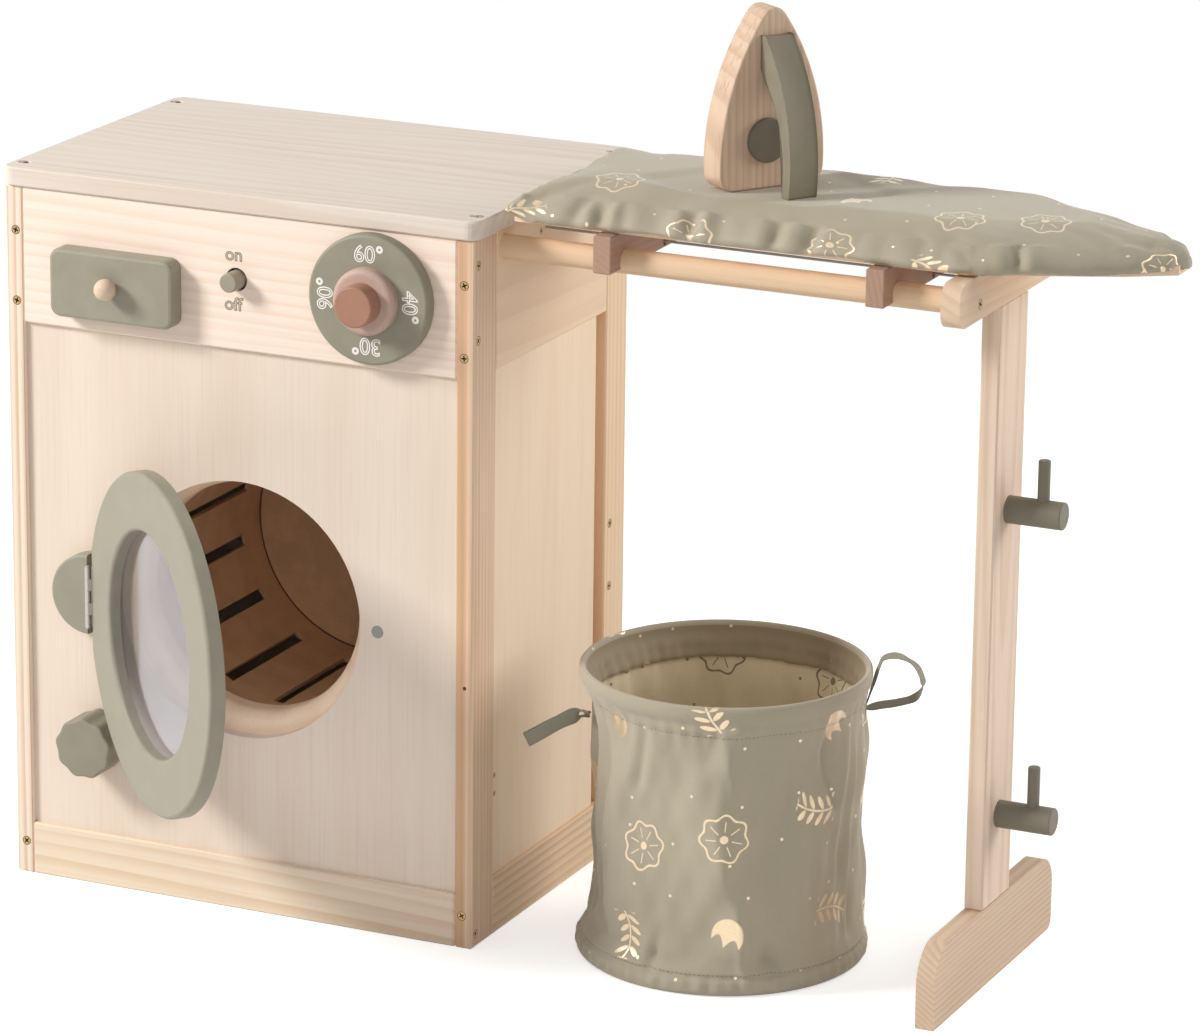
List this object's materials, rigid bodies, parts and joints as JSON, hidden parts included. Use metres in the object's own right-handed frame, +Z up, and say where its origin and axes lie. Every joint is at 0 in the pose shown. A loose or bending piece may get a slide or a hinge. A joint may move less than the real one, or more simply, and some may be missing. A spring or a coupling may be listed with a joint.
{
  "type": "toy washing machine",
  "caption": "Wooden play washing machine with round door, turning drum, drawer, dial and button, a side ironing board on a stand, a toy iron and a cloth laundry basket.",
  "frame": {"origin": "on the floor under the middle of the cabinet, on the underside of its bottom board", "axes": "+X to the right along the front, towards the stand; +Y from the front to the back; +Z up"},
  "size_m": [0.8747, 0.4339, 0.6942],
  "materials": {
    "pine": "whitewashed pine, matt lacquer",
    "plywood": "pale poplar plywood, matt",
    "beech": "plain beech, matt lacquer",
    "red_beech": "steamed beech, matt lacquer",
    "sage_paint": "sage grey paint on wood, matt",
    "hardboard": "brown hardboard, smooth side in",
    "sage_cotton": "sage satin cotton with gold foil print",
    "brass": "yellow passivated steel, satin",
    "zinc": "zinc plated, satin",
    "clear_acrylic": "clear acrylic, polished",
    "cord": "white twisted cord"
  },
  "bodies": {
    "cabinet": {"top_board": "pine", "post_front_left": "pine", "post_front_right": "pine", "post_back_left": "pine", "post_back_right": "pine", "control_panel": "pine", "front_panel": "plywood", "front_bottom_rail": "pine", "back_rails": "pine", "back_panel": "plywood", "side_top_rail_left": "pine", "side_top_rail_right": "pine", "side_bottom_rails": "pine", "side_panels": "plywood", "bottom_board": "plywood", "drum_collar": "beech", "drum_bearer": "pine", "drum_batten": "pine", "hinge_block": "sage_paint", "hinge_leaf_fixed": "zinc", "hinge_pin": "zinc", "magnet": "zinc", "drawer_runners": "pine", "button_housing": "pine", "dowel_rails": "pine", "crosspiece": "pine", "column": "pine", "foot": "pine", "hook_pegs": "sage_paint", "hook_pins": "sage_paint", "clothes_line": "cord", "wood_screws": "brass", "button_spring": "zinc"},
    "door": {"door_ring": "sage_paint", "door_pane": "clear_acrylic", "hinge_leaf_door": "zinc", "strike_plate": "zinc"},
    "drawer": {"drawer_front": "sage_paint", "drawer_box": "plywood", "drawer_knob": "beech"},
    "button": {"push_button": "sage_paint"},
    "dial": {"dial_disc": "sage_paint", "dial_hub": "beech", "dial_knob": "red_beech", "dial_spindle": "beech"},
    "drum": {"drum_shell": "hardboard", "drum_floor": "hardboard", "drum_axle": "beech"},
    "filter": {"filter_knob": "sage_paint", "filter_stem": "beech"},
    "ironing_board": {"ironing_base": "plywood", "ironing_battens": "red_beech", "ironing_cover": "sage_cotton"},
    "iron": {"iron_sole": "pine", "iron_handle": "sage_paint", "iron_disc": "sage_paint"},
    "basket": {"basket_cloth": "sage_cotton", "basket_wires": "zinc", "basket_loops": "sage_cotton"}
  },
  "joints": [
    {"name": "door_hinge", "type": "hinge", "parent": "cabinet", "child": "door", "pos_m": [-0.1195, -0.142, 0.229], "axis": [0, 0, 1], "range_deg": [-79, 40.8]},
    {"name": "drawer_slide", "type": "slide", "parent": "cabinet", "child": "drawer", "axis": [0, -1, 0], "range_m": [0, 0.06]},
    {"name": "button_press", "type": "slide", "parent": "cabinet", "child": "button", "axis": [0, 1, 0], "range_m": [0, 0.006], "stiffness_N_per_m": 200, "deforming": ["button_spring"]},
    {"name": "dial_turn", "type": "hinge", "parent": "cabinet", "child": "dial", "pos_m": [0.111, -0.13, 0.4805], "axis": [0, -1, 0], "continuous": true},
    {"name": "drum_turn", "type": "hinge", "parent": "cabinet", "child": "drum", "pos_m": [0, 0.1, 0.236], "axis": [0, -1, 0], "continuous": true},
    {"name": "filter_turn", "type": "hinge", "parent": "cabinet", "child": "filter", "pos_m": [-0.118, -0.12, 0.115], "axis": [0, -1, 0], "continuous": true},
    {"name": "board_slide", "type": "slide", "parent": "cabinet", "child": "ironing_board", "axis": [1, 0, 0], "range_m": [-0.003, 0.044]},
    {"name": "iron_lift", "type": "slide", "parent": "ironing_board", "child": "iron", "axis": [0, 0, 1], "range_m": [0, 0.15]},
    {"name": "basket_lift", "type": "slide", "parent": "cabinet", "child": "basket", "axis": [0, 0, 1], "range_m": [0, 0.15]}
  ]
}
